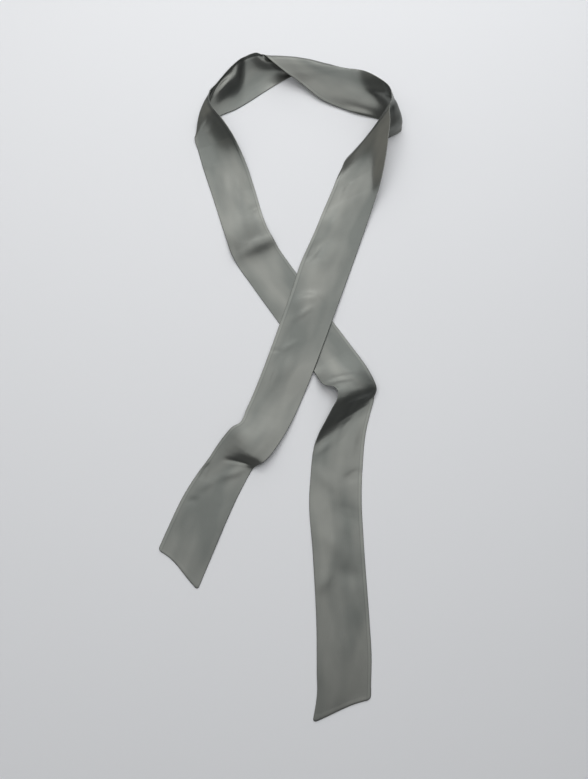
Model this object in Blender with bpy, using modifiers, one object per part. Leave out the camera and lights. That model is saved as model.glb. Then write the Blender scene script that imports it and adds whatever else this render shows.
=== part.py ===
"""A long silk scarf, laid out flat in a crossed loop, modelled stretch by stretch.

The scarf is one strip of satin sewn to a flat tube. FOLD is its folded long edge and SEAM its sewn
one. It is followed from the tip of the right tail, up under the crossing, round the neck loop and
down over the crossing to the tip of the left tail. Every row of the table is one straight section
across the cloth, from the folded edge to the sewn edge, and the cloth is lofted through the rows.
"""

import math
from collections import namedtuple

import bmesh
import bpy
from mathutils import Vector

MM = 0.001

# Driving dimensions, in millimetres
CLOTH_THICKNESS = 1.2
STEP_ALONG = 9.0
STEPS_ACROSS = 6
STRETCH_GAP = 0.3

SATIN_COLOUR = (0.205, 0.222, 0.205, 1.0)
SATIN_ROUGHNESS = 0.42

# One section: where its folded edge and its sewn edge lie, x to the right, y up the layout and z the
# clear height under the cloth; bow is how far the middle of the section stands off the straight line.
Section = namedtuple("Section", "fold_x fold_y fold_z seam_x seam_y seam_z bow")

STRETCHES = {
    "tail_right": [
        Section(21, -362, 0, 73, -344, 0, 0),
        Section(24, -323, 0, 75, -309, 0, 0),
        Section(24, -276, 0, 74, -274, 0, 0),
        Section(21, -212, 0, 71, -209, 0, 0),
        Section(18, -169, 0, 70, -162, 0, 0),
        Section(20, -135, 0, 72, -130, 0, 0),
    ],
    "leg_low": [
        Section(23, -113, 1, 75, -104, 0, 0),
        Section(31, -91, 6, 79, -87, 0, 1),
        Section(42, -73, 11, 84, -67, 1, 2),
        Section(48, -59, 14, 88, -53, 3, 3),
        Section(44, -51, 14, 87, -43, 5, 3),
        Section(33, -47, 8, 79, -28, 5, 2),
        Section(23, -31, 1, 64, -4, 1, 0),
        Section(5, -4, 0, 46, 23, 0, 0),
    ],
    "leg_left": [
        Section(-16, 27, 0, 25, 54, 0, 0),
        Section(-42, 65, 0, 0, 90, 0, 0),
        Section(-64, 99, 0, -23, 127, 0, 0),
        Section(-74, 127, 0, -31, 148, 0, 0),
        Section(-89, 174, 0, -42, 187, 0, 0),
        Section(-102, 214, 0, -53, 223, 1, 0),
    ],
    "neck_left": [
        Section(-109, 238, 0, -68, 253, 8, 1),
        Section(-112, 247, 1, -82, 271, 15, 2),
        Section(-113, 251, 3, -90, 281, 19, 2),
        Section(-112, 255, 3, -95, 293, 18, 1),
        Section(-111, 260, 1, -95, 308, 13, 1),
        Section(-103, 267, 0, -89, 324, 10, 1),
        Section(-85, 284, 0, -78, 339, 10, 0),
        Section(-67, 293, 0, -67, 353, 11, 0),
        Section(-51, 304, 0, -57, 361, 11, 0),
        Section(-29, 321, 0, -47, 363, 11, 0),
    ],
    "neck_top": [
        Section(-5, 337, 1, -40, 362, 10, 0),
        Section(17, 344, 5, -37, 361, 11, 0),
        Section(30, 347, 8, -35, 360, 12, 0),
        Section(37, 346, 12, -32, 357, 14, 0),
        Section(43, 344, 16, -29, 354, 16, 0),
        Section(53, 338, 19, -23, 348, 16, 0),
        Section(66, 330, 24, -8, 336, 13, -1),
        Section(75, 325, 28, 12, 323, 8, -2),
        Section(82, 321, 31, 36, 305, 3, -3),
        Section(92, 313, 35, 67, 291, 1, -4),
        Section(104, 299, 40, 102, 280, 0, -4),
    ],
    "neck_right": [
        Section(110, 287, 43, 125, 271, 0, -4),
        Section(111, 280, 44, 129, 265, 0, -4),
        Section(111, 273, 45, 122, 259, 0, -2),
        Section(110, 268, 45, 100, 248, 0, 0),
        Section(109, 265, 46, 76, 235, 0, 0),
        Section(107, 262, 46, 66, 230, 0, 0),
        Section(108, 258, 43, 62, 223, 1, 0),
        Section(110, 252, 35, 58, 213, 1, 0),
        Section(110, 241, 20, 53, 202, 1, 0),
        Section(108, 222, 8, 46, 183, 1, 0),
        Section(102, 195, 2, 37, 161, 0, 0),
    ],
    "leg_right": [
        Section(91, 159, 0, 26, 132, 0, 0),
        Section(70, 98, 1, 10, 92, 2, 0),
        Section(54, 53, 2, 2, 65, 2, 0),
        Section(36, 3, 3, -15, 13, 2, 0),
        Section(22, -35, 3, -30, -31, 2, 0),
    ],
    "tail_left": [
        Section(12, -60, 1, -40, -58, 2, 0),
        Section(0, -87, 3, -46, -73, 4, 1),
        Section(-10, -105, 7, -51, -86, 6, 2),
        Section(-22, -123, 8, -61, -92, 5, 2),
        Section(-33, -131, 6, -73, -108, 3, 1),
        Section(-40, -137, 2, -83, -123, 1, 0),
        Section(-49, -153, 0, -96, -141, 0, 0),
        Section(-60, -177, 0, -108, -162, 0, 0),
        Section(-75, -214, 0, -121, -192, 0, 0),
        Section(-89, -249, 0, -129, -212, 0, 0),
    ],
}


def clear_scene():
    for old in list(bpy.data.objects):
        bpy.data.objects.remove(old, do_unlink=True)


def all_sections():
    """Every section in order, with the place in that list where each stretch starts and ends."""
    sections = []
    spans = {}
    for name, rows in STRETCHES.items():
        start = max(0, len(sections) - 1)
        sections += rows
        spans[name] = (start, len(sections) - 1)
    return sections, spans


def edge_points(section):
    """The two ends of a section on the middle of the cloth, half its thickness above the table."""
    middle = CLOTH_THICKNESS / 2
    fold = Vector((section.fold_x, section.fold_y, section.fold_z + middle))
    seam = Vector((section.seam_x, section.seam_y, section.seam_z + middle))
    return fold, seam


def smooth_between(before, start, end, after, share):
    """A curve through start and end whose slope at each is set by their neighbours' distances."""
    near = math.sqrt((start - before).length) or 1.0
    mid = math.sqrt((end - start).length) or 1.0
    far = math.sqrt((after - end).length) or 1.0
    leave = (start - before) / near - (end - before) / (near + mid) + (end - start) / mid
    arrive = (end - start) / mid - (after - start) / (mid + far) + (after - end) / far
    leave *= mid
    arrive *= mid
    square = share * share
    cube = square * share
    return (
        start * (2 * cube - 3 * square + 1)
        + leave * (cube - 2 * square + share)
        + end * (3 * square - 2 * cube)
        + arrive * (cube - square)
    )


def section_at(sections, place):
    """The two edges and the bow at a place along the list of sections, 2.5 being midway after 2."""
    last = len(sections) - 1
    index = min(int(place), last - 1)
    share = place - index
    picked = []
    for step in (-1, 0, 1, 2):
        picked.append(sections[min(max(index + step, 0), last)])
    ends = [edge_points(section) for section in picked]
    if index == 0:
        ends[0] = tuple(2 * ends[1][side] - ends[2][side] for side in (0, 1))
    if index == last - 1:
        ends[3] = tuple(2 * ends[2][side] - ends[1][side] for side in (0, 1))
    edges = []
    for side in (0, 1):
        point = smooth_between(*(end[side] for end in ends), share)
        point.z = max(point.z, CLOTH_THICKNESS / 2)
        edges.append(point)
    bow = picked[1].bow * (1 - share) + picked[2].bow * share
    return edges[0], edges[1], bow


def places_along(sections, start, end):
    """Evenly spaced places in a stretch, pulled in at cut ends by half the gap between stretches."""
    places = []
    for index in range(start, end):
        here = edge_points(sections[index])
        ahead = edge_points(sections[index + 1])
        lengths = [(ahead[side] - here[side]).length for side in (0, 1)]
        steps = max(1, round(max(lengths) / STEP_ALONG))
        trim = STRETCH_GAP / 2 / min(lengths)
        first = index + trim if index == start and start > 0 else index
        places += [first + (index + 1 - first) * step / steps for step in range(steps)]
        final = index + 1 - trim if end < len(sections) - 1 else index + 1
    places.append(final)
    return places


def stretch_mesh(name, sections, start, end):
    """One stretch of the cloth as an open surface down its middle."""
    shape = bmesh.new()
    rows = []
    for place in places_along(sections, start, end):
        fold, seam, bow = section_at(sections, place)
        ahead = section_at(sections, min(place + 0.05, len(sections) - 1))
        behind = section_at(sections, max(place - 0.05, 0))
        travel = (ahead[0] + ahead[1]) - (behind[0] + behind[1])
        upright = (seam - fold).cross(travel).normalized()
        row = []
        for step in range(STEPS_ACROSS + 1):
            across = step / STEPS_ACROSS
            point = fold.lerp(seam, across) + upright * bow * math.sin(math.pi * across)
            row.append(shape.verts.new(point * MM))
        rows.append(row)
    for row, following in zip(rows, rows[1:]):
        for left in range(STEPS_ACROSS):
            shape.faces.new((row[left], row[left + 1], following[left + 1], following[left]))
    mesh = bpy.data.meshes.new(name)
    shape.to_mesh(mesh)
    shape.free()
    mesh.shade_smooth()
    return mesh


def satin():
    material = bpy.data.materials.new("grey satin")
    material.use_nodes = True
    shader = material.node_tree.nodes["Principled BSDF"]
    shader.inputs["Base Color"].default_value = SATIN_COLOUR
    shader.inputs["Roughness"].default_value = SATIN_ROUGHNESS
    shader.inputs["Metallic"].default_value = 0.0
    return material


def build_stretch(name, sections, span, collection):
    mesh = stretch_mesh(name, sections, *span)
    mesh.materials.append(satin())
    stretch = bpy.data.objects.new(name, mesh)
    collection.objects.link(stretch)
    wall = stretch.modifiers.new("Wall", "SOLIDIFY")
    wall.thickness = CLOTH_THICKNESS * MM
    wall.offset = 0
    wall.use_rim = True
    return stretch


def centre_on_origin(stretches):
    """Moves the layout so that the middle of its outline lies over the origin, resting on z = 0."""
    graph = bpy.context.evaluated_depsgraph_get()
    corners = []
    for stretch in stretches:
        corners += [Vector(corner) for corner in stretch.evaluated_get(graph).bound_box]
    for axis in (0, 1):
        low = min(corner[axis] for corner in corners)
        high = max(corner[axis] for corner in corners)
        for stretch in stretches:
            stretch.location[axis] = -(low + high) / 2


def build_scarf():
    clear_scene()
    collection = bpy.data.collections.new("long silk scarf")
    bpy.context.scene.collection.children.link(collection)
    sections, spans = all_sections()
    stretches = []
    for name, span in spans.items():
        stretches.append(build_stretch(name, sections, span, collection))
    bpy.context.view_layer.update()
    centre_on_origin(stretches)


build_scarf()
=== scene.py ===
# A long satin scarf lying in a crossed loop on a pale table, seen from above.
import math

import bpy
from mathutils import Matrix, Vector, noise


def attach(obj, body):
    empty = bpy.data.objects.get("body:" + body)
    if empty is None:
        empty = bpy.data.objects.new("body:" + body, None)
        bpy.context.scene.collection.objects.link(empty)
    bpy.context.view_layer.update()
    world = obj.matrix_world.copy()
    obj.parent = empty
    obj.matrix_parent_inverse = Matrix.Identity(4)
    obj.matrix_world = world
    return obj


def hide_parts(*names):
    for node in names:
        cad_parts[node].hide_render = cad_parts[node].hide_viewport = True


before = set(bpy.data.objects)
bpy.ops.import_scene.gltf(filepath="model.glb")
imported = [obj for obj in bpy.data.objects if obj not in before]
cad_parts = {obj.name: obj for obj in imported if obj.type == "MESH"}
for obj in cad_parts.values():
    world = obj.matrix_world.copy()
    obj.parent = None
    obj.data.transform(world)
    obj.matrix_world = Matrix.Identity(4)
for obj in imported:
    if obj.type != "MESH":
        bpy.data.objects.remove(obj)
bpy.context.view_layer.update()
print("frame loaded")

mm = 0.001

# What to change on the scarf, in millimetres and, where noted, shares of 1
scarf = {
    "width": 50.0,
    "thickness": 1.2,
    "edgeThickness": 0.8,
    "edgeSlope": (2, 14),     # between these distances from an edge the cloth thickens
    "tipSlope": 0.4,          # share of the distance from a tip that counts in the same way
    "rim": 0.45,              # how far in the outermost edge is rounded over
    "leastThickness": 0.3,    # what is left where a layer is pressed flat on the table
    "seamStrip": 3.4,         # the pressed allowance inside the sewn edge
    "seamStep": 0.3,          # half the width of the step beside it
    "seamRise": 0.16,
    "tipHollow": (1.6, 2.6),  # how far each slanted end is cut hollow, right tail then left
    "tipSkew": 0.35,          # share that the hollow leans towards the sewn side
    "tipRound": 3.6,          # radius of the tips' corners
    "tipFade": 18.0,          # how far into the cloth the tips' shape reaches
    "unevenness": 0.22,       # faint waves all over, up to this high
    "unevennessSize": 26.0,
    "unevennessSquash": 1.3,  # how many times shorter they are across the cloth
    "unevennessLayer": 3.7,   # another number gives other waves
    "creaseReach": 2.6,       # how many of its widths away a crease has died out
    # the layer underneath has no creases below the first height, and all of them above the second
    "restingHeight": (1, 6),
    # the same move that brings the middle of the CAD model's outline over the origin
    "shift": (-0.287, -0.563),
    "stepAlong": 1.8,
    "tipSteps": (0.07, 0.22, 0.5),  # closer steps at both tips, as shares of one step
    "quickStep": 2.5,
    # points across the cloth: close together at the folded edge and round the seam, even between
    "nearFold": [0, 0.12, 0.4, 0.9, 1.8, 3.2],
    "evenFrom": 5,
    "evenSpacing": 1.6,
    "evenCount": 26,
    "nearSeam": [46.0, 46.5, 46.9, 47.4, 48.3, 49.1, 49.6, 49.88, 50],
    # Each row is one straight section across the cloth, from the folded long edge to the sewn one,
    # in order from the tip of the right tail: foldX, foldY, foldZ, seamX, seamY, seamZ and the bow,
    # which is how far the middle stands off the straight line. Heights are clear under the cloth.
    "rows": [
        # right tail
        (20, -363, 0, 73, -344, 0, 0),
        (24, -339, 0, 74, -327, 0, 0),
        (24, -321, 0, 75, -307, 0, 0),
        (24, -276, 0, 74, -274, 0, 0),
        (21, -212, 0, 71, -209, 0, 0),
        (18, -169, 0, 70, -162, 0, 0),
        (20, -135, 0, 72, -130, 0, 0),
        # the hump and the lower leg, up to the crossing
        (22, -117, 0, 76, -97, 0, 0),
        (24, -108, 1, 82, -74, 0, -1),
        (28, -98, 4, 85, -64, 1, -2),
        (34, -87, 8, 86, -58, 2, -1),
        (41, -74, 11, 87, -56, 3, 0),
        (47, -63, 14, 88, -53, 4, 2),
        (47, -56, 15, 88, -50, 6, 2),
        (43, -51, 13, 86, -43, 6, 2),
        (33, -48, 10, 79, -28, 5, 1),
        (23, -31, 2, 64, -4, 2, 0),
        (5, -4, 0, 46, 23, 0, 0),
        # left leg
        (-16, 27, 0, 25, 54, 0, 0),
        (-42, 65, 0, 0, 90, 0, 0),
        (-64, 99, 0, -23, 127, 0, 0),
        (-74, 127, 0, -31, 148, 0, 0),
        (-89, 174, 0, -42, 187, 0, 0),
        (-102, 214, 0, -53, 220, 5, -1),
        # left corner, where the cloth turns its other face up
        (-109, 238, 0, -67, 248, 14, -4),
        (-112, 247, 1, -81, 268, 19, -4),
        (-113, 252, 2, -90, 279, 21, -3),
        (-112, 256, 2, -95, 291, 20, 0),
        (-111, 260, 1, -94, 302, 20, 4),
        (-103, 267, 0, -87, 315, 20, 6),
        (-85, 284, 0, -77, 330, 20, 6),
        (-67, 293, 0, -66, 345, 19, 6),
        (-51, 304, 0, -56, 355, 17, 6),
        (-29, 321, 0, -46, 358, 17, 6),
        # turned back over, and the top of the loop
        (-5, 337, 1, -38, 358, 16, 5),
        (17, 342, 7, -35, 359, 15, 2),
        (30, 344, 11, -33, 358, 15, 2),
        (37, 344, 14, -31, 356, 16, 3),
        (43, 343, 17, -29, 352, 18, 3),
        (53, 338, 19, -23, 346, 18, 1),
        (66, 334, 20, -8, 335, 14, 0),
        (76, 331, 22, 12, 323, 8, 0),
        (83, 327, 25, 36, 305, 3, 0),
        (93, 319, 28, 67, 291, 1, 0),
        (106, 306, 31, 102, 280, 0, 0),
        # right corner and its flap
        (111, 291, 38, 125, 271, 0, -3),
        (112, 283, 40, 129, 265, 0, -3),
        (112, 276, 41, 122, 259, 0, -2),
        (111, 271, 41, 100, 248, 0, 0),
        (110, 268, 42, 76, 235, 0, -1),
        (110, 266, 41, 67, 230, 0, -2),
        (109, 261, 40, 62, 223, 1, -3),
        (110, 250, 37, 58, 213, 1, -4),
        (108, 232, 32, 53, 202, 1, -5),
        (105, 210, 24, 46, 183, 1, -6),
        (100, 186, 15, 37, 161, 0, -5),
        # right leg, over the crossing
        (90, 156, 5, 26, 132, 0, -2),
        (70, 98, 1, 10, 92, 2, 0),
        (54, 53, 2, 2, 65, 2, 0),
        (36, 3, 3, -15, 13, 2, 0),
        (22, -35, 3, -30, -31, 2, 0),
        # left tail
        (12, -60, 1, -40, -58, 2, 0),
        (0, -87, 3, -46, -73, 4, 0),
        (-10, -105, 5, -51, -86, 6, 1),
        (-20, -120, 7, -60, -92, 7, 1),
        (-28, -128, 7, -68, -101, 5, 1),
        (-35, -131, 4, -76, -112, 3, 0),
        (-38, -133, 1, -81, -120, 2, 0),
        (-49, -153, 0, -96, -141, 0, 0),
        (-60, -177, 0, -108, -162, 0, 0),
        (-75, -214, 0, -121, -192, 0, 0),
        (-89, -249, 0, -129, -212, 0, 0),
    ],
    # Ridges and troughs: the line each follows, as along and across at both ends, then how wide it
    # is ahead of the line and behind it, and how high it stands on the outer face. Troughs, and
    # ridges on the inner face, are below zero.
    "creases": [
        # right tail
        (56, 3, 211, 7, 6, 14, 1.2),
        (105, 3, 122, 16, 6, 6, 0.6),
        (123, 20, 115, 44, 8, 8, -0.8),
        (162, 10, 133, 33, 8, 8, 0.8),
        (184, 26, 168, 45, 9, 9, -1.2),
        (210, 33, 215, 49, 5, 6, -1.2),
        (227, 2, 197, 28, 6, 6, 1.2),
        # the hump
        (243, 6, 255, 15, 5, 5, 0.8),
        (241, 25, 272, 32, 5, 5, -0.9),
        (230, 38, 261, 40, 5, 5, 0.9),
        (318, 0, 313, 40, 4, 4, 0.3),
        (331, 6, 321, 45, 3, 4, 0.5),
        # left leg
        (516, -14, 501, 76, 26, 11, 6.4),
        (509, 12, 503, 54, 12, 9, 1.7),
        (567, 7, 627, 15, 7, 7, -0.4),
        (539, 23, 619, 40, 8, 8, -1),
        (551, 14, 617, 26, 8, 8, 0.7),
        (550, 36, 556, 48, 4, 4, -0.7),
        # inner face at the left corner
        (746, 33, 755, 50, 5, 8, -2),
        (746, 32, 713, 38, 5, 7, -1.6),
        (705, 33, 754, 30, 20, 9, -6.4),
        (777, 55, 816, 13, 13, 9, -3.6),
        # top of the loop
        (880, 5, 954, 30, 12, 11, -3.6),
        (902, 20, 1016, 5, 5, 4, 0.9),
        (901, 33, 950, 38, 9, 8, 0.6),
        (914, 49, 945, 47, 4, 3.5, 1.4),
        (966, 38, 1004, 38, 13, 8, -2),
        # right leg
        (1048, 17, 1125, 6, 8, 9, -2.2),
        (1062, 25, 1130, 10, 6, 6, 1.2),
        (1064, 33, 1133, 28, 7, 7, 1),
        (1063, 43, 1106, 40, 6, 6, -1),
        (1157, 20, 1112, 45, 6, 7, 1.6),
        (1151, 41, 1185, 42, 6, 6, -1.3),
        (1161, 32, 1224, 29, 10, 10, 1.4),
        (1228, 18, 1247, 43, 20, 8, 2),
        (1231, 19, 1234, 39, 5, 7, 1),
        (1242, 23, 1263, 39, 3, 3, 1.1),
        (1265, 40, 1291, 37, 4, 4, -0.8),
        (1283, 26, 1298, 39, 3, 3, 0.7),
        (1297, 39, 1298, 50, 2, 2, -0.6),
        (1303, 37, 1354, 35, 4, 3, 0.9),
        (1305, 28, 1328, 28, 6, 6, 0.9),
        # left tail
        (1402, 7, 1407, 35, 10, 18, 1.8),
        (1414, 1, 1421, 28, 3.5, 9, 0.9),
        (1427, 1, 1433, 36, 2.5, 3, -1.4),
        (1436, 6, 1454, 29, 5, 4, 1),
        (1454, 29, 1470, 40, 5, 4, 0.8),
        (1441, 46, 1458, 43, 3, 3, -1),
        (1479, 36, 1485, 42, 4, 4, -0.8),
        (1452, 13, 1536, 0, 7, 7, 0.9),
    ],
    # where the sewn edge curls over at the left corner; a curl weaker than the least is left out
    "curl": {"start": 690.0, "end": 815.0, "fade": 16.0, "width": 6.0, "radius": 3.4, "least": 0.02},
}

evenPlaces = [scarf["evenFrom"] + scarf["evenSpacing"] * step for step in range(scarf["evenCount"])]
acrossPlaces = scarf["nearFold"] + evenPlaces + scarf["nearSeam"]


def edgePoints(row):
    # the two ends of a row, on the middle of the cloth's thickness
    middle = scarf["thickness"] / 2
    fold = Vector((row[0], row[1], row[2] + middle))
    seam = Vector((row[3], row[4], row[5] + middle))
    return fold, seam


def smoothBetween(before, start, end, after, share):
    # a point on the smooth curve from start to end, which suits unevenly spaced rows
    near = math.sqrt((start - before).length) or 1.0
    mid = math.sqrt((end - start).length) or 1.0
    far = math.sqrt((after - end).length) or 1.0
    leave = (start - before) / near - (end - before) / (near + mid) + (end - start) / mid
    arrive = (end - start) / mid - (after - start) / (mid + far) + (after - end) / far
    square = share * share
    cube = square * share
    return (
        start * (2 * cube - 3 * square + 1)
        + leave * mid * (cube - 2 * square + share)
        + end * (3 * square - 2 * cube)
        + arrive * mid * (cube - square)
    )


def rowAt(place):
    # both edges and the bow at a place along the rows, 2.5 being midway between rows 2 and 3
    rows = scarf["rows"]
    last = len(rows) - 1
    index = min(int(place), last - 1)
    share = place - index
    ends = [edgePoints(rows[min(max(index + step, 0), last)]) for step in (-1, 0, 1, 2)]
    if index == 0:
        ends[0] = [2 * ends[1][side] - ends[2][side] for side in (0, 1)]
    if index == last - 1:
        ends[3] = [2 * ends[2][side] - ends[1][side] for side in (0, 1)]
    edges = []
    for side in (0, 1):
        point = smoothBetween(*[end[side] for end in ends], share)
        point.z = max(point.z, scarf["thickness"] / 2)
        edges.append(point)
    bow = rows[index][6] * (1 - share) + rows[index + 1][6] * share
    return edges[0], edges[1], bow


def placesAlong():
    # even steps along the scarf, each with how far it is from the right tail's tip
    rows = scarf["rows"]
    step = scarf["stepAlong"] * 1
    stops = []
    for index in range(len(rows) - 1):
        here, ahead = edgePoints(rows[index]), edgePoints(rows[index + 1])
        longest = max((ahead[side] - here[side]).length for side in (0, 1))
        steps = max(1, round(longest / step))
        stops += [index + number / steps for number in range(steps)]
    stops.append(len(rows) - 1)
    # the tips are rounded over, so they take a few closer steps
    first, final = stops[1] - stops[0], stops[-1] - stops[-2]
    stops[1:1] = [first * share for share in scarf["tipSteps"]]
    stops[-1:-1] = [stops[-1] - final * share for share in reversed(scarf["tipSteps"])]
    places = []
    along = 0.0
    fold, seam = rowAt(0)[:2]
    for place in stops:
        nextFold, nextSeam = rowAt(place)[:2]
        along += ((nextFold - fold).length + (nextSeam - seam).length) / 2
        fold, seam = nextFold, nextSeam
        places.append((place, along))
    return places


def easeIn(low, high, value):
    # 0 up to low, 1 from high on, and smooth between them
    share = min(max((value - low) / (high - low), 0.0), 1.0)
    return share * share * (3 - 2 * share)


def creaseHeight(along, across):
    # how far the ridges and troughs lift the cloth here, towards its outer face
    height = 0.0
    for startAlong, startAcross, endAlong, endAcross, ahead, behind, high in scarf["creases"]:
        reach = scarf["creaseReach"] * max(ahead, behind)
        if along < min(startAlong, endAlong) - reach or along > max(startAlong, endAlong) + reach:
            continue
        lineAlong, lineAcross = endAlong - startAlong, endAcross - startAcross
        length = math.hypot(lineAlong, lineAcross)
        fromAlong, fromAcross = along - startAlong, across - startAcross
        onLine = (fromAlong * lineAlong + fromAcross * lineAcross) / length
        offLine = (fromAlong * lineAcross - fromAcross * lineAlong) / length
        wide = ahead if offLine > 0 else behind
        inward = abs(onLine - length / 2) / (length / 2 + min(ahead, behind))
        if inward >= 1 or abs(offLine) > scarf["creaseReach"] * wide:
            continue
        height += high * (1 - inward * inward) ** 2 * math.exp(-((offLine / wide) ** 2))
    return height


def unevenHeight(along, across):
    size = scarf["unevennessSize"]
    squash = scarf["unevennessSquash"]
    where = Vector((along / size, across / size * squash, scarf["unevennessLayer"]))
    return scarf["unevenness"] * noise.noise(where)


def tipShift(along, across, length):
    # the slanted ends are cut a little hollow, with the folded side drawn out to a tip
    share = across / scarf["width"]
    hollow = math.sin(math.pi * share) - scarf["tipSkew"] * math.sin(2 * math.pi * share)
    start, end = scarf["tipHollow"]
    fade = scarf["tipFade"]
    radius = scarf["tipRound"]
    inset = max(0.0, radius - min(across, scarf["width"] - across))
    rounded = radius - math.sqrt(radius * radius - inset * inset)
    shift = (start * hollow + rounded) * (1 - easeIn(0, fade, along))
    return shift - (end * hollow + rounded) * (1 - easeIn(0, fade, length - along))


def curlEdge(line, along, over, outward):
    # rolls the last of the sewn edge back over the inner face
    curl = scarf["curl"]
    share = easeIn(curl["start"], curl["start"] + curl["fade"], along)
    share *= 1 - easeIn(curl["end"] - curl["fade"], curl["end"], along)
    if share < curl["least"]:
        return
    radius = curl["radius"] / share
    begin = scarf["width"] - curl["width"]
    first = min(index for index, across in enumerate(acrossPlaces) if across >= begin)
    anchor = line[first].copy()
    for index in range(first, len(line)):
        turn = (acrossPlaces[index] - acrossPlaces[first]) / radius
        aside = over * radius * math.sin(turn)
        line[index] = anchor + aside - outward * radius * (1 - math.cos(turn))


def middleOfCloth():
    # the scarf's middle surface, a row of points for each step along it, with its creases and
    # again with the creases gone where it lies on the table, for the layer underneath
    places = placesAlong()
    length = places[-1][1]
    nudge = 0.05   # the share of a row to look ahead and behind for the direction
    grid = []
    for place, along in places:
        fold, seam, bow = rowAt(place)
        ahead = rowAt(min(place + nudge, len(scarf["rows"]) - 1))
        behind = rowAt(max(place - nudge, 0))
        travel = ((ahead[0] + ahead[1]) - (behind[0] + behind[1])).normalized()
        outward = (seam - fold).cross(travel).normalized()
        over = (seam - fold).normalized()
        creased, resting = [], []
        for across in acrossPlaces:
            share = across / scarf["width"]
            point = fold.lerp(seam, share) + outward * bow * math.sin(math.pi * share)
            point += travel * tipShift(along, across, length)
            lift = creaseHeight(along, across) + unevenHeight(along, across)
            creased.append(point + outward * lift)
            resting.append(point + outward * lift * easeIn(*scarf["restingHeight"], point.z))
        curlEdge(creased, along, over, outward)
        curlEdge(resting, along, over, outward)
        grid.append((along, creased, resting))
    return grid, length


def halfThickness(across, fromTip):
    # thin at every edge, with the allowance inside the sewn edges and the step beside it
    width = scarf["width"]
    inset = min(across, width - across, scarf["tipSlope"] * fromTip)
    half = scarf["edgeThickness"] / 2
    half += (scarf["thickness"] - scarf["edgeThickness"]) / 2 * easeIn(*scarf["edgeSlope"], inset)
    fromSeam = min(width - across, fromTip)
    strip = scarf["seamStrip"]
    step = scarf["seamStep"]
    half += scarf["seamRise"] / 2 * (1 - easeIn(strip - step, strip + step, fromSeam))
    rim = scarf["rim"]
    if inset < rim:
        half *= math.sqrt(max(0.0, 1 - (1 - inset / rim) ** 2))
    return half


def layersOver(grid, index, length):
    # the two layers of cloth at one step along, outer face first
    last = len(grid) - 1
    along, creased, resting = grid[index]
    ahead, behind = grid[min(index + 1, last)][1], grid[max(index - 1, 0)][1]
    outer, inner = [], []
    for column, across in enumerate(acrossPlaces):
        after = creased[min(column + 1, len(creased) - 1)]
        before = creased[max(column - 1, 0)]
        outward = (after - before).cross(ahead[column] - behind[column]).normalized()
        half = halfThickness(across, min(along, length - along))
        facesUp = outward.z >= 0
        outerPoint = (creased if facesUp else resting)[column] + outward * half
        innerPoint = (resting if facesUp else creased)[column] - outward * half
        under, top = (innerPoint, outerPoint) if facesUp else (outerPoint, innerPoint)
        if under.z < 0:
            under.z = 0
        top.z = max(top.z, under.z + min(half, scarf["leastThickness"]))
        outer.append(outerPoint)
        inner.append(innerPoint)
    inner[0] = outer[0] = (outer[0] + inner[0]) / 2
    inner[-1] = outer[-1] = (outer[-1] + inner[-1]) / 2
    return outer, inner


def buildScarf():
    grid, length = middleOfCloth()
    shiftX, shiftY = scarf["shift"]
    columns = len(acrossPlaces)
    ring = 2 * columns - 2   # the two layers share the points of both long edges
    vertices, marks, faces = [], [], []
    for index in range(len(grid)):
        along = grid[index][0]
        outer, inner = layersOver(grid, index, length)
        around = outer + inner[-2:0:-1]
        for point, across in zip(around, acrossPlaces + acrossPlaces[-2:0:-1]):
            vertices.append(((point.x + shiftX) * mm, (point.y + shiftY) * mm, point.z * mm))
            marks.append((along * mm, across * mm))
    last = len(grid) - 1
    for index in range(last):
        here, there = index * ring, (index + 1) * ring
        for step in range(ring):
            after = (step + 1) % ring
            faces.append((here + step, here + after, there + after, there + step))
    # both tips are closed between the layers, with three-cornered faces at the long edges
    for tip in (0, last):
        for column in range(columns - 1):
            corners = [column, column + 1, ring - column - 1, (ring - column) % ring]
            if column == 0:
                corners.pop()
            if column == columns - 2:
                corners.pop(2)
            if tip:
                corners.reverse()
            faces.append([tip * ring + corner for corner in corners])
    mesh = bpy.data.meshes.new("silkScarf")
    mesh.from_pydata(vertices, [], faces)
    layer = mesh.uv_layers.new(name="alongAcross")
    for loop in mesh.loops:
        layer.data[loop.index].uv = marks[loop.vertex_index]
    mesh.shade_smooth()
    piece = bpy.data.objects.new("silkScarf", mesh)
    bpy.context.collection.objects.link(piece)
    print(f"scarf shaped: {length:.0f} mm long, {len(faces)} faces")
    return piece


# What to change in the satin; lengths are in metres
satin = {
    # colour and the darker colour below are mixed by noise clouds: partly the cloth's uneven tone,
    # partly painted sheen and painted shade
    "colour": (0.177, 0.182, 0.168, 1),
    "colourShadedPatch": (0.114, 0.122, 0.114, 1),
    "cloudsPerMetre": (11, 30),  # along and across
    "cloudShift": (20.2, 72.2),
    "cloudRange": (0.37, 0.63),  # closer together for stronger clouds, so stronger painted sheen and painted shade patches
    "cloudDetail": 2,
    # painted highlight along the pressed seam strip
    "stripHighlightColour": (0.25, 0.26, 0.24, 1),
    "stripStrength": 0.2,
    "stripFade": 0.0006,
    "seamShadowColour": (0.05, 0.055, 0.052, 1),  # painted shadow line beside the strip
    "lineStrength": 0.2,
    "lineFade": (0.0002, 0.0007),  # full up to the first distance from its middle, gone at the second
    "metallic": 0.8,
    "roughness": 0.34,
    "roughnessSpread": 0.06,
    "anisotropic": 0.35,
    "sheen": 0.08,
    "sheenRoughness": 0.4,
    "ridgeScale": 160.0,  # gives about 510 faint ridges a metre, so one each 2 mm across the cloth
    "ridgeWaver": 1.5,
    "ridgeDetail": 1,
    "ridgeDepth": 0.000012,
    "slubsPerMetre": 160,
    "slubDetail": 4,
    "slubDepth": 0.00003,
}


def addNode(tree, kind, place, **settings):
    # a new node at its place in the editor, with its own settings
    node = tree.nodes.new(kind)
    node.location = place
    for name, value in settings.items():
        setattr(node, name, value)
    return node


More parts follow.
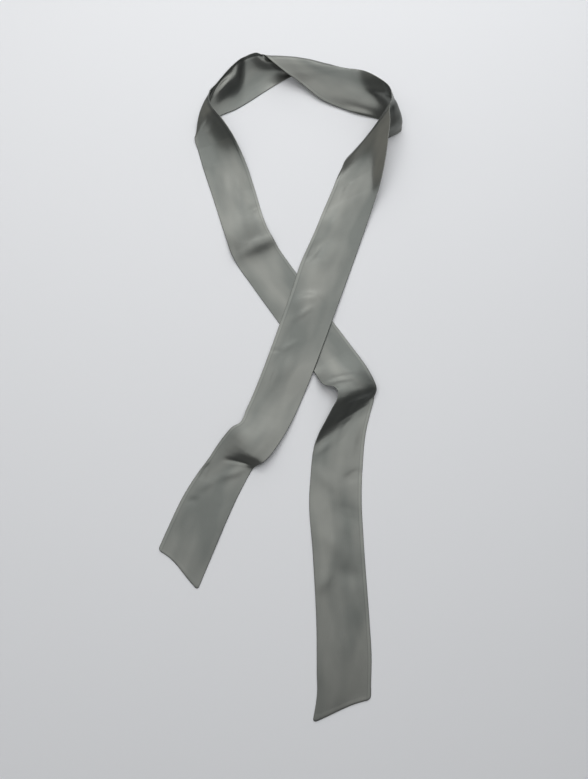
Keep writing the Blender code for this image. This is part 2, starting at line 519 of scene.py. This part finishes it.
def makeSatin():
    material = bpy.data.materials.new("greySatin")
    material.use_nodes = True
    tree = material.node_tree
    link = tree.links.new
    shader = tree.nodes["Principled BSDF"]
    shader.inputs["Metallic"].default_value = satin["metallic"]
    shader.inputs["Anisotropic"].default_value = satin["anisotropic"]
    shader.inputs["Sheen Weight"].default_value = satin["sheen"]
    shader.inputs["Sheen Roughness"].default_value = satin["sheenRoughness"]
    where = addNode(tree, "ShaderNodeUVMap", (-1500, 0), uv_map="alongAcross")
    split = addNode(tree, "ShaderNodeSeparateXYZ", (-1300, -300))
    link(where.outputs["UV"], split.inputs["Vector"])

    # the cloth's slight uneven colour along and across it, which is also painted sheen and painted
    # shade: noise patches that stand in for the satin's blotchy reflections
    stretch = addNode(tree, "ShaderNodeMapping", (-1250, 300))
    stretch.inputs["Scale"].default_value = (*satin["cloudsPerMetre"], 1)
    stretch.inputs["Location"].default_value = (*satin["cloudShift"], 0)
    link(where.outputs["UV"], stretch.inputs["Vector"])
    clouds = addNode(tree, "ShaderNodeTexNoise", (-1000, 300))
    clouds.inputs["Scale"].default_value = 1
    clouds.inputs["Detail"].default_value = satin["cloudDetail"]
    link(stretch.outputs["Vector"], clouds.inputs["Vector"])
    tint = addNode(tree, "ShaderNodeMix", (-500, 300), data_type="RGBA")
    tint.inputs["A"].default_value = satin["colourShadedPatch"]
    tint.inputs["B"].default_value = satin["colour"]
    patches = addNode(tree, "ShaderNodeMapRange", (-750, 300))
    patches.inputs["From Min"].default_value = satin["cloudRange"][0]
    patches.inputs["From Max"].default_value = satin["cloudRange"][1]
    link(clouds.outputs["Fac"], patches.inputs["Value"])
    link(patches.outputs["Result"], tint.inputs["Factor"])

    # painted highlight on the pressed seam strip, with a painted shadow line beside it
    fromSeam = addNode(tree, "ShaderNodeMath", (-1100, -350), operation="SUBTRACT")
    fromSeam.inputs[1].default_value = (scarf["width"] - scarf["seamStrip"]) * mm
    link(split.outputs["Y"], fromSeam.inputs[0])
    far = addNode(tree, "ShaderNodeMath", (-900, -350), operation="ABSOLUTE")
    link(fromSeam.outputs[0], far.inputs[0])
    strip = addNode(tree, "ShaderNodeMapRange", (-700, 50))
    strip.inputs["From Max"].default_value = satin["stripFade"]
    strip.inputs["To Max"].default_value = satin["stripStrength"]
    link(fromSeam.outputs[0], strip.inputs["Value"])
    stripHighlight = addNode(tree, "ShaderNodeMix", (-400, 400), data_type="RGBA")
    stripHighlight.inputs["B"].default_value = satin["stripHighlightColour"]
    link(tint.outputs["Result"], stripHighlight.inputs["A"])
    link(strip.outputs["Result"], stripHighlight.inputs["Factor"])
    line = addNode(tree, "ShaderNodeMapRange", (-700, -350))
    line.inputs["From Min"].default_value = satin["lineFade"][0]
    line.inputs["From Max"].default_value = satin["lineFade"][1]
    line.inputs["To Min"].default_value = satin["lineStrength"]
    line.inputs["To Max"].default_value = 0.0
    link(far.outputs[0], line.inputs["Value"])
    seam = addNode(tree, "ShaderNodeMix", (-250, 250), data_type="RGBA")
    seam.inputs["B"].default_value = satin["seamShadowColour"]
    link(stripHighlight.outputs["Result"], seam.inputs["A"])
    link(line.outputs["Result"], seam.inputs["Factor"])
    link(seam.outputs["Result"], shader.inputs["Base Color"])

    # faint ridges along the cloth, and slight slubs
    ridges = addNode(tree, "ShaderNodeTexWave", (-1000, -50), bands_direction="Y")
    ridges.inputs["Scale"].default_value = satin["ridgeScale"]
    ridges.inputs["Distortion"].default_value = satin["ridgeWaver"]
    ridges.inputs["Detail"].default_value = satin["ridgeDetail"]
    link(where.outputs["UV"], ridges.inputs["Vector"])
    slubs = addNode(tree, "ShaderNodeTexNoise", (-1000, -650))
    slubs.inputs["Scale"].default_value = satin["slubsPerMetre"]
    slubs.inputs["Detail"].default_value = satin["slubDetail"]
    link(where.outputs["UV"], slubs.inputs["Vector"])
    ridgeBump = addNode(tree, "ShaderNodeBump", (-500, -100))
    ridgeBump.inputs["Distance"].default_value = satin["ridgeDepth"]
    link(ridges.outputs["Fac"], ridgeBump.inputs["Height"])
    slubBump = addNode(tree, "ShaderNodeBump", (-250, -300))
    slubBump.inputs["Distance"].default_value = satin["slubDepth"]
    link(slubs.outputs["Fac"], slubBump.inputs["Height"])
    link(ridgeBump.outputs["Normal"], slubBump.inputs["Normal"])
    link(slubBump.outputs["Normal"], shader.inputs["Normal"])

    # the slubs change the gloss a little, and highlights are drawn out along the cloth
    gloss = addNode(tree, "ShaderNodeMapRange", (-500, 50))
    gloss.inputs["To Min"].default_value = satin["roughness"] - satin["roughnessSpread"]
    gloss.inputs["To Max"].default_value = satin["roughness"] + satin["roughnessSpread"]
    link(slubs.outputs["Fac"], gloss.inputs["Value"])
    link(gloss.outputs["Result"], shader.inputs["Roughness"])
    grain = addNode(tree, "ShaderNodeTangent", (-500, -550), direction_type="UV_MAP")
    grain.uv_map = "alongAcross"
    link(grain.outputs["Tangent"], shader.inputs["Tangent"])
    return material


# What to change in the table, in metres
tableTop = {
    "size": 6.0,
    "colour": (0.78, 0.79, 0.81, 1),
    "darkest": 0.985,  # the share of that colour in its darker patches
    "patchesPerMetre": 2.5,
    "roughness": 0.75,
    "specular": 0.2,
}


def makeTable():
    material = bpy.data.materials.new("paleTable")
    material.use_nodes = True
    tree = material.node_tree
    shader = tree.nodes["Principled BSDF"]
    shader.inputs["Roughness"].default_value = tableTop["roughness"]
    shader.inputs["Specular IOR Level"].default_value = tableTop["specular"]
    patches = addNode(tree, "ShaderNodeTexNoise", (-700, 200))
    patches.inputs["Scale"].default_value = tableTop["patchesPerMetre"]
    tint = addNode(tree, "ShaderNodeMix", (-350, 200), data_type="RGBA")
    darker = [part * tableTop["darkest"] for part in tableTop["colour"][:3]]
    tint.inputs["A"].default_value = darker + [1]
    tint.inputs["B"].default_value = tableTop["colour"]
    where = addNode(tree, "ShaderNodeTexCoord", (-950, 200))
    tree.links.new(where.outputs["Object"], patches.inputs["Vector"])
    tree.links.new(patches.outputs["Fac"], tint.inputs["Factor"])
    tree.links.new(tint.outputs["Result"], shader.inputs["Base Color"])
    half = tableTop["size"] / 2
    corners = [(-half, -half, 0), (half, -half, 0), (half, half, 0), (-half, half, 0)]
    mesh = bpy.data.meshes.new("table")
    mesh.from_pydata(corners, [], [(0, 1, 2, 3)])
    mesh.materials.append(material)
    table = bpy.data.objects.new("table", mesh)
    bpy.context.collection.objects.link(table)
    return table


# What to change in the light and the camera
studio = {
    # each soft light's name, place, size in metres, power in watts, colour and whether it's aimed at
    # the table's middle
    "lights": [
        ("window", (0.4, 1.5, 0.62), (1.9, 0.75), 6.5, (1, 1, 1), True),
        ("skylight", (-0.15, 1.38, 1.22), (1.3, 0.24), 4, (1, 1, 1), True),
        ("ceiling", (0.0, 0.9, 1.25), (1.8, 0.85), 8.5, (1, 1, 1), False),
        ("overhead", (0.0, 0.13, 1.25), (1.8, 0.7), 5.8, (1, 1, 1), False),
        ("front", (-0.3, -0.42, 1.25), (1.7, 0.45), 2.5, (1, 1, 1), False),
        ("side", (-1.25, 0.72, 0.75), (0.8, 0.7), 1.25, (1, 0.94, 0.85), True),
    ],
    "roomColour": (0.96, 0.98, 1.0, 1),
    "roomLight": 0.15,
    "cameraPlace": (0.0027, -0.2126, 0.603),
    "cameraTilt": 15.0,  # degrees from straight down
    "sensorWidth": 36,   # millimetres, as is the lens
    "lens": 27.73,
    "nearestSeen": 0.01,  # metres
}


def softLight(name, place, size, power, colour, aimed):
    lamp = bpy.data.lights.new(name, "AREA")
    lamp.shape = "RECTANGLE"
    lamp.size, lamp.size_y = size
    lamp.energy = power
    lamp.color = colour
    light = bpy.data.objects.new(name, lamp)
    light.location = place
    if aimed:
        light.rotation_euler = (-Vector(place)).to_track_quat("-Z", "Y").to_euler()
    bpy.context.collection.objects.link(light)


def lightStudio():
    for light in studio["lights"]:
        softLight(*light)
    room = bpy.data.worlds.new("room")
    room.use_nodes = True
    background = room.node_tree.nodes["Background"]
    background.inputs["Color"].default_value = studio["roomColour"]
    background.inputs["Strength"].default_value = studio["roomLight"]
    bpy.context.scene.world = room
    bpy.context.scene.view_settings.view_transform = "Standard"


def placeCamera():
    lens = bpy.data.cameras.new("camera")
    lens.sensor_width = studio["sensorWidth"]
    lens.lens = studio["lens"]
    lens.clip_start = studio["nearestSeen"]
    camera = bpy.data.objects.new("camera", lens)
    camera.location = studio["cameraPlace"]
    camera.rotation_euler = (math.radians(studio["cameraTilt"]), 0, 0)
    bpy.context.collection.objects.link(camera)
    bpy.context.scene.camera = camera


silkScarf = buildScarf()
silkScarf.data.materials.append(makeSatin())
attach(silkScarf, "root")
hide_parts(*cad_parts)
table = makeTable()
print("scarf finished in satin")
lightStudio()
placeCamera()
print("light and camera placed")
